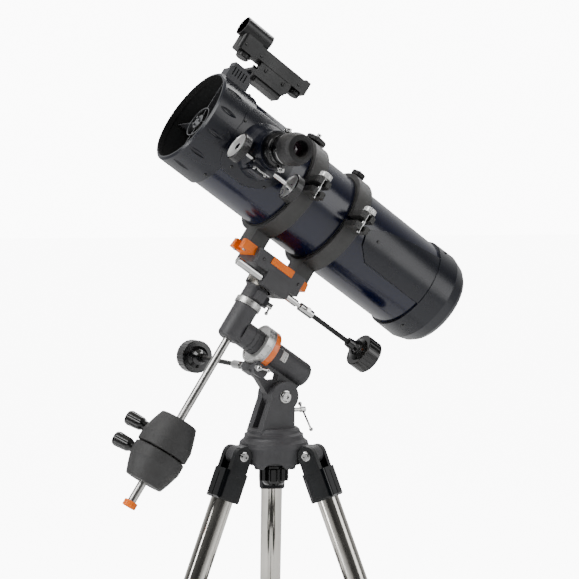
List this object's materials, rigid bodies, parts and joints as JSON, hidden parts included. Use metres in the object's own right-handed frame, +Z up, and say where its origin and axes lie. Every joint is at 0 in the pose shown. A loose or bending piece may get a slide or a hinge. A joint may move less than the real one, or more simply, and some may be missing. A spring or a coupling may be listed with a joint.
{
  "type": "newtonian reflector telescope",
  "caption": "Newtonian reflector telescope on a German equatorial mount with counterweights, rack focuser, red-dot finder and folding steel tripod.",
  "frame": {"origin": "on the ground, under the mount's azimuth axis", "axes": "+Z up; the polar axis lies in the XZ plane and points towards -X and up; -Y is the operator's side, with the focuser and the slow-motion knobs"},
  "size_m": [0.6249, 0.553, 1.2047],
  "materials": {
    "casting": "satin dark grey paint on cast aluminium",
    "black_casting": "gloss black paint on cast aluminium",
    "tube_paint": "gloss dark blue metallic paint on rolled steel",
    "ring_paint": "satin black paint on cast aluminium",
    "orange_paint": "satin orange anodised or painted metal",
    "polished_steel": "polished stainless steel tube",
    "bright_steel": "bright nickel plate",
    "shaft_steel": "ground steel",
    "worm_metal": "machined alloy",
    "circle_metal": "polished aluminium with engraved ticks",
    "weight_paint": "satin grey coated cast iron",
    "black_plastic": "moulded black plastic",
    "cell_plastic": "satin dark grey moulded plastic",
    "mirror_coat": "aluminised glass"
  },
  "bodies": {
    "tripod_hub": {"tripod_hub": "casting", "leg_pivot_bolts": "shaft_steel"},
    "mounting_knob": {"mounting_knob": "black_plastic"},
    "azimuth_base": {"azimuth_base": "casting", "latitude_pivot_bolt": "shaft_steel"},
    "leg_1": {"leg_fittings_1": "black_casting", "leg_tube_1": "polished_steel"},
    "leg_extension_1": {"leg_extension_1": "polished_steel"},
    "brace_arm_1": {"brace_arm_1": "black_plastic"},
    "leg_2": {"leg_fittings_2": "black_casting", "leg_tube_2": "polished_steel"},
    "leg_extension_2": {"leg_extension_2": "polished_steel"},
    "brace_arm_2": {"brace_arm_2": "black_plastic"},
    "leg_3": {"leg_fittings_3": "black_casting", "leg_tube_3": "polished_steel"},
    "leg_extension_3": {"leg_extension_3": "polished_steel"},
    "brace_arm_3": {"brace_arm_3": "black_plastic"},
    "accessory_tray": {"accessory_tray": "black_plastic"},
    "latitude_t_bolt": {"latitude_t_bolt": "bright_steel"},
    "polar_housing": {"polar_housing": "casting", "ra_drive_ring": "orange_paint"},
    "ra_setting_circle": {"ra_setting_circle": "circle_metal"},
    "ra_worm": {"ra_worm_shaft": "bright_steel", "ra_slow_motion_cable": "black_plastic"},
    "ra_lock_lever": {"ra_lock_lever": "bright_steel"},
    "declination_housing": {"declination_housing": "casting", "polar_shaft": "shaft_steel", "worm_wheels": "worm_metal", "counterweight_shaft": "shaft_steel"},
    "dec_setting_circle": {"dec_setting_circle": "circle_metal"},
    "dec_lock_lever": {"dec_lock_lever": "bright_steel"},
    "counterweight_upper": {"counterweight_upper": "weight_paint"},
    "counterweight_lower": {"counterweight_lower": "weight_paint"},
    "counterweight_knob_upper": {"counterweight_knob_upper": "black_plastic"},
    "counterweight_knob_lower": {"counterweight_knob_lower": "black_plastic"},
    "toe_nut": {"toe_nut": "orange_paint"},
    "saddle": {"saddle": "casting", "declination_shaft": "shaft_steel", "dovetail_bar": "orange_paint", "tube_ring_lowers": "ring_paint"},
    "dec_worm": {"dec_worm_shaft": "bright_steel", "dec_slow_motion_cable": "black_plastic"},
    "dovetail_knob": {"dovetail_knob": "black_plastic"},
    "tube_ring_front": {"tube_ring_upper_front": "ring_paint"},
    "ring_screw_front": {"ring_screw_front": "bright_steel"},
    "tube_ring_rear": {"tube_ring_upper_rear": "ring_paint"},
    "ring_screw_rear": {"ring_screw_rear": "bright_steel"},
    "tube": {"optical_tube": "tube_paint", "front_cell": "cell_plastic", "rear_cell": "cell_plastic", "primary_mirror": "mirror_coat", "mirror_cell": "ring_paint", "spider": "ring_paint", "secondary_mirror": "mirror_coat", "focuser_body": "cell_plastic", "finder_bracket": "black_plastic"},
    "drawtube": {"drawtube": "black_plastic"},
    "focus_knobs": {"focus_knobs": "black_plastic"},
    "eyepiece": {"eyepiece": "black_plastic"},
    "finder": {"finder_body": "black_plastic"}
  },
  "joints": [
    {"name": "mounting_knob_turn", "type": "hinge", "parent": "tripod_hub", "child": "mounting_knob", "pos_m": [0, 0, 0.56], "axis": [0, 0, 1], "continuous": true},
    {"name": "azimuth_turn", "type": "hinge", "parent": "tripod_hub", "child": "azimuth_base", "pos_m": [0, 0, 0.61], "axis": [0, 0, 1], "continuous": true},
    {"name": "leg_fold_1", "type": "hinge", "parent": "tripod_hub", "child": "leg_1", "pos_m": [0.0268, 0.05558, 0.5871], "axis": [-0.9008, 0.4343, 0], "range_deg": [0, 21.86]},
    {"name": "leg_extend_1", "type": "slide", "parent": "leg_1", "child": "leg_extension_1", "axis": [0.1617, 0.3354, -0.9281], "range_m": [0, 0.4]},
    {"name": "brace_turn_1", "type": "hinge", "parent": "leg_1", "child": "brace_arm_1", "pos_m": [0.0721, 0.14955, 0.26261], "axis": [-0.9008, 0.4343, 0], "range_deg": [0, 35.38]},
    {"name": "leg_fold_2", "type": "hinge", "parent": "tripod_hub", "child": "leg_2", "pos_m": [-0.06153, -0.00458, 0.5871], "axis": [0.0743, -0.9972, 0], "range_deg": [0, 21.86]},
    {"name": "leg_extend_2", "type": "slide", "parent": "leg_2", "child": "leg_extension_2", "axis": [-0.3713, -0.0277, -0.9281], "range_m": [0, 0.4]},
    {"name": "brace_turn_2", "type": "hinge", "parent": "leg_2", "child": "brace_arm_2", "pos_m": [-0.16556, -0.01233, 0.26261], "axis": [0.0743, -0.9972, 0], "range_deg": [0, 35.38]},
    {"name": "leg_fold_3", "type": "hinge", "parent": "tripod_hub", "child": "leg_3", "pos_m": [0.03473, -0.05099, 0.5871], "axis": [0.8265, 0.5629, 0], "range_deg": [0, 21.86]},
    {"name": "leg_extend_3", "type": "slide", "parent": "leg_3", "child": "leg_extension_3", "axis": [0.2096, -0.3077, -0.9281], "range_m": [0, 0.4]},
    {"name": "brace_turn_3", "type": "hinge", "parent": "leg_3", "child": "brace_arm_3", "pos_m": [0.09346, -0.13722, 0.26261], "axis": [0.8265, 0.5629, 0], "range_deg": [0, 35.38]},
    {"name": "tray_rise", "type": "slide", "parent": "tripod_hub", "child": "accessory_tray", "axis": [0, 0, 1], "range_m": [0, 0.063]},
    {"name": "latitude_t_bolt_turn", "type": "hinge", "parent": "azimuth_base", "child": "latitude_t_bolt", "pos_m": [0.03, 0, 0.6455], "axis": [1, 0, 0], "range_deg": [-360, 360]},
    {"name": "latitude_tilt", "type": "hinge", "parent": "azimuth_base", "child": "polar_housing", "pos_m": [0.007, 0, 0.6683], "axis": [0, 1, 0], "range_deg": [-14, 26]},
    {"name": "ra_circle_turn", "type": "hinge", "parent": "polar_housing", "child": "ra_setting_circle", "pos_m": [-0.02155, 0, 0.74074], "axis": [-0.829, 0, 0.5592], "continuous": true},
    {"name": "ra_worm_turn", "type": "hinge", "parent": "polar_housing", "child": "ra_worm", "pos_m": [-0.03059, 0, 0.70945], "axis": [0, 1, 0], "range_deg": [-3600, 4680]},
    {"name": "ra_lock_turn", "type": "hinge", "parent": "polar_housing", "child": "ra_lock_lever", "pos_m": [-0.03751, -0.02, 0.71171], "axis": [0, -1, 0], "range_deg": [-60, 30]},
    {"name": "ra_turn", "type": "hinge", "parent": "polar_housing", "child": "declination_housing", "pos_m": [-0.063, 0, 0.7687], "axis": [-0.829, 0, 0.5592], "range_deg": [-65, 50]},
    {"name": "dec_circle_turn", "type": "hinge", "parent": "declination_housing", "child": "dec_setting_circle", "pos_m": [-0.04119, 0, 0.80103], "axis": [0.5592, 0, 0.829], "continuous": true},
    {"name": "dec_lock_turn", "type": "hinge", "parent": "declination_housing", "child": "dec_lock_lever", "pos_m": [-0.02315, -0.0075, 0.80455], "axis": [0.718, -0.5, -0.4843], "range_deg": [-30, 30]},
    {"name": "counterweight_upper_slide", "type": "slide", "parent": "declination_housing", "child": "counterweight_upper", "axis": [0.5592, 0, 0.829], "range_m": [0, 0.09]},
    {"name": "counterweight_lower_slide", "type": "slide", "parent": "declination_housing", "child": "counterweight_lower", "axis": [0.5592, 0, 0.829], "range_m": [-0.028, 0]},
    {"name": "counterweight_knob_upper_turn", "type": "hinge", "parent": "counterweight_upper", "child": "counterweight_knob_upper", "pos_m": [-0.16477, 0, 0.61782], "axis": [-0.5654, 0.7314, 0.3814], "range_deg": [-360, 360]},
    {"name": "counterweight_knob_lower_turn", "type": "hinge", "parent": "counterweight_lower", "child": "counterweight_knob_lower", "pos_m": [-0.18379, 0, 0.58963], "axis": [-0.5654, 0.7314, 0.3814], "range_deg": [-360, 360]},
    {"name": "toe_nut_turn", "type": "hinge", "parent": "declination_housing", "child": "toe_nut", "pos_m": [-0.22237, 0, 0.53242], "axis": [0.5592, 0, 0.829], "range_deg": [-360, 3600]},
    {"name": "dec_turn", "type": "hinge", "parent": "declination_housing", "child": "saddle", "pos_m": [-0.01826, 0, 0.83502], "axis": [0.5592, 0, 0.829], "range_deg": [-180, 180]},
    {"name": "dec_worm_turn", "type": "hinge", "parent": "saddle", "child": "dec_worm", "pos_m": [-0.02106, -0.025, 0.83088], "axis": [0.829, 0, -0.5592], "range_deg": [-12960, 12960]},
    {"name": "dovetail_knob_turn", "type": "hinge", "parent": "saddle", "child": "dovetail_knob", "pos_m": [-0.00292, 0.03, 0.85241], "axis": [0, -1, 0], "range_deg": [0, 720]},
    {"name": "ring_front_open", "type": "hinge", "parent": "saddle", "child": "tube_ring_front", "pos_m": [0.01808, 0.0845, 0.96491], "axis": [-0.829, 0, 0.5592], "range_deg": [0, 70]},
    {"name": "ring_screw_front_turn", "type": "hinge", "parent": "tube_ring_front", "child": "ring_screw_front", "pos_m": [0.01808, -0.1, 0.96491], "axis": [0.5592, 0, 0.829], "range_deg": [0, 1440]},
    {"name": "ring_rear_open", "type": "hinge", "parent": "saddle", "child": "tube_ring_rear", "pos_m": [0.08937, 0.0845, 0.91682], "axis": [-0.829, 0, 0.5592], "range_deg": [0, 70]},
    {"name": "ring_screw_rear_turn", "type": "hinge", "parent": "tube_ring_rear", "child": "ring_screw_rear", "pos_m": [0.08937, -0.1, 0.91682], "axis": [0.5592, 0, 0.829], "range_deg": [0, 1440]},
    {"name": "tube_turn", "type": "hinge", "parent": "saddle", "child": "tube", "pos_m": [0.05331, 0, 0.94114], "axis": [-0.829, 0, 0.5592], "range_deg": [-45, 45]},
    {"name": "focus_slide", "type": "slide", "parent": "tube", "child": "drawtube", "axis": [0, -1, 0], "range_m": [0, 0.03]},
    {"name": "focus_turn", "type": "hinge", "parent": "tube", "child": "focus_knobs", "pos_m": [-0.06816, -0.098, 0.99352], "axis": [-0.829, 0, 0.5592], "range_deg": [0, 338]},
    {"name": "eyepiece_slide", "type": "slide", "parent": "drawtube", "child": "eyepiece", "axis": [0, -1, 0], "range_m": [0, 0.035]},
    {"name": "finder_tilt", "type": "hinge", "parent": "tube", "child": "finder", "pos_m": [-0.00978, -0.01, 1.12121], "axis": [0, -1, 0], "range_deg": [-0.5, 0.5]}
  ],
  "couplings": [
    {"joint": "brace_turn_1", "follows": "leg_fold_1", "ratio": 1.6162},
    {"joint": "leg_fold_2", "follows": "leg_fold_1", "ratio": 1},
    {"joint": "brace_turn_2", "follows": "leg_fold_1", "ratio": 1.6162},
    {"joint": "leg_fold_3", "follows": "leg_fold_1", "ratio": 1},
    {"joint": "brace_turn_3", "follows": "leg_fold_1", "ratio": 1.6162},
    {"joint": "tray_rise", "follows": "leg_fold_1", "m_per_rad": 0.16468},
    {"joint": "focus_turn", "follows": "focus_slide", "rad_per_m": 196.08},
    {"joint": "ra_worm_turn", "follows": "ra_turn", "ratio": -72},
    {"joint": "dec_worm_turn", "follows": "dec_turn", "ratio": -72}
  ]
}
